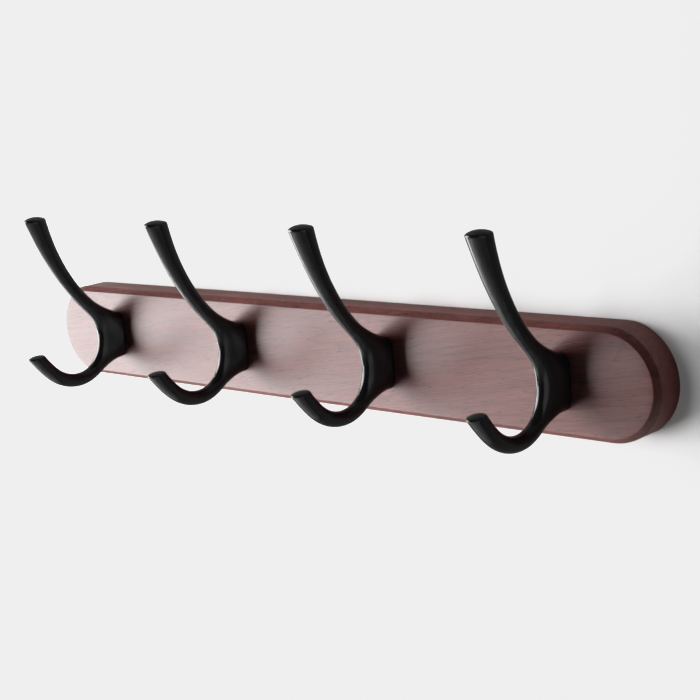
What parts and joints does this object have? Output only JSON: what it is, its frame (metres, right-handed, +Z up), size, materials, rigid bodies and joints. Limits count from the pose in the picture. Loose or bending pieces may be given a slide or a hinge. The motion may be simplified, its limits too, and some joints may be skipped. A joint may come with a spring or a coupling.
{
  "type": "wall hook rack",
  "caption": "Round-ended stained wooden wall board with chamfered front edge, carrying black double coat hooks with long flared upper arms and curled lower hooks.",
  "frame": {"origin": "centre of the board's back face, which lies against the wall", "axes": "+X along the board, +Y out of the back face into the wall, +Z up"},
  "size_m": [0.44, 0.083, 0.1063],
  "materials": {
    "stained_wood": "reddish brown stain under satin lacquer",
    "black_coating": "satin black coating on die-cast zinc",
    "zinc_plate": "zinc plated"
  },
  "bodies": {
    "root": {"backboard": "stained_wood", "hook_1": "black_coating", "hook_2": "black_coating", "hook_3": "black_coating", "hook_4": "black_coating", "hook_1_screw_upper": "zinc_plate", "hook_1_screw_lower": "zinc_plate", "hook_2_screw_upper": "zinc_plate", "hook_2_screw_lower": "zinc_plate", "hook_3_screw_upper": "zinc_plate", "hook_3_screw_lower": "zinc_plate", "hook_4_screw_upper": "zinc_plate", "hook_4_screw_lower": "zinc_plate", "hook_1_washer_upper": "zinc_plate", "hook_1_washer_lower": "zinc_plate", "hook_2_washer_upper": "zinc_plate", "hook_2_washer_lower": "zinc_plate", "hook_3_washer_upper": "zinc_plate", "hook_3_washer_lower": "zinc_plate", "hook_4_washer_upper": "zinc_plate", "hook_4_washer_lower": "zinc_plate", "hanger_plate_left": "zinc_plate", "hanger_plate_right": "zinc_plate", "hanger_screw_left_upper": "zinc_plate", "hanger_screw_left_lower": "zinc_plate", "hanger_screw_right_upper": "zinc_plate", "hanger_screw_right_lower": "zinc_plate"}
  },
  "joints": []
}
